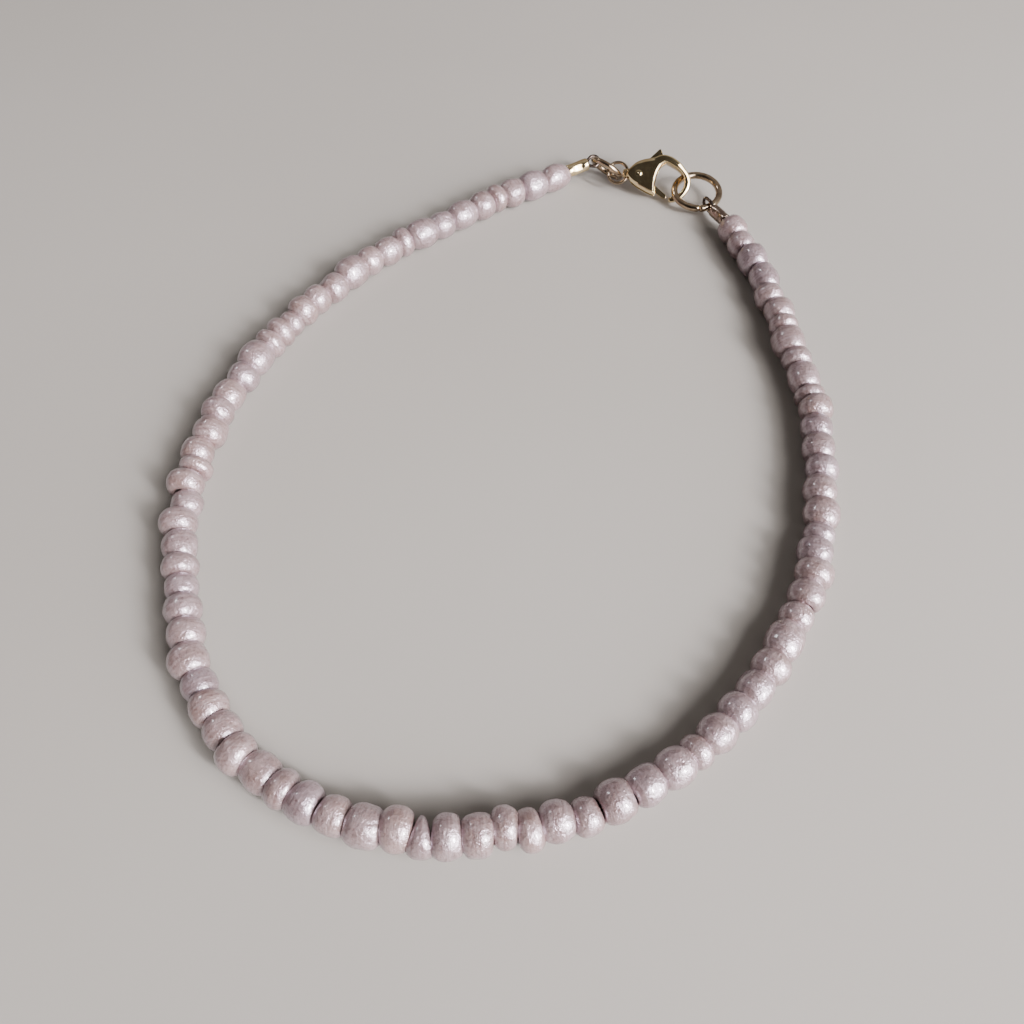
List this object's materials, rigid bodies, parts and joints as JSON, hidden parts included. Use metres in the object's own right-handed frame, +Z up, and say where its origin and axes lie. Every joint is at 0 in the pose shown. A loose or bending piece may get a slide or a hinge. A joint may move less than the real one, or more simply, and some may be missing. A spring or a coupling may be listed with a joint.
{
  "type": "seed bead bracelet",
  "caption": "Closed bracelet of pale lustre glass seed beads on a fine wire, with crimped wire loops, a small claw clasp with a sprung lever and a round jump ring.",
  "frame": {"origin": "the middle of the bracelet's bounding box, on the surface that it lies on", "axes": "+Y along the loop's longest way, towards the clasp; +Z up from the surface"},
  "size_m": [0.0554, 0.0714, 0.0041],
  "materials": {
    "lustre_glass": "polished, lustre coated",
    "gold_metal": "polished, gold plated",
    "wire_metal": "polished, darkened"
  },
  "bodies": {
    "bracelet": {"bead_run_1": "lustre_glass", "bead_run_2": "lustre_glass", "bead_run_3": "lustre_glass", "bead_run_4": "lustre_glass", "bead_run_5": "lustre_glass", "bead_run_6": "lustre_glass", "bead_run_7": "lustre_glass", "bead_run_8": "lustre_glass", "claw_body": "gold_metal", "claw_pin": "gold_metal", "claw_ring": "gold_metal", "crimp_left": "gold_metal", "crimp_right": "gold_metal", "jump_ring": "gold_metal", "small_ring": "gold_metal", "wire_loop_left": "wire_metal", "wire_loop_right": "wire_metal"},
    "lever": {"claw_lever": "gold_metal"}
  },
  "joints": [
    {"name": "lever_pivot", "type": "hinge", "parent": "bracelet", "child": "lever", "pos_m": [0.01342, 0.0322, 0.00212], "axis": [-0.0967, -0.6879, 0.7193], "range_deg": [0, 14], "stiffness_Nm_per_rad": 0.004, "springref_deg": -11.46}
  ]
}
